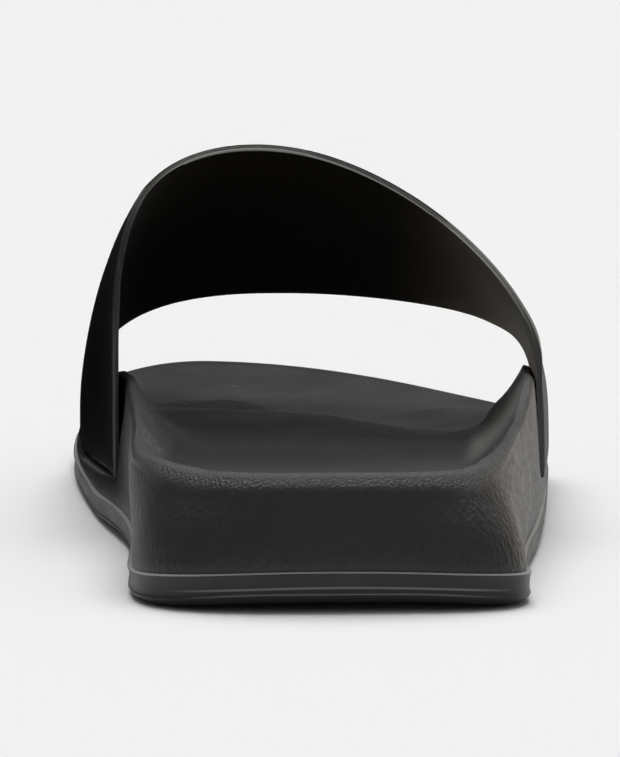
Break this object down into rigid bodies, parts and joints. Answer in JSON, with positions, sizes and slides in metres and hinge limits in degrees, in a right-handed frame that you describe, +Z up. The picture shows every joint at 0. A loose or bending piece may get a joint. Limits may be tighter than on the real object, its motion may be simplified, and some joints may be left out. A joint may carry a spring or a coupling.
{
  "type": "slide sandal",
  "caption": "Moulded sport slide sandal for the right foot: cupped foam footbed on a rubber outsole, with one wide hollow strap over the instep.",
  "frame": {"origin": "middle of the whole shoe's box in plan, on the floor the sole stands on", "axes": "+Y towards the toe, +X towards the outer side of the foot, +Z up"},
  "size_m": [0.1076, 0.2848, 0.0832],
  "materials": {
    "rubber": "black moulded rubber, semi-matt",
    "foam": "black moulded foam with a leather-like grain, semi-matt",
    "strap_coating": "black coated strap, satin outside and matt inside"
  },
  "bodies": {
    "root": {"outsole": "rubber", "midsole": "foam", "strap": "strap_coating"}
  },
  "joints": []
}
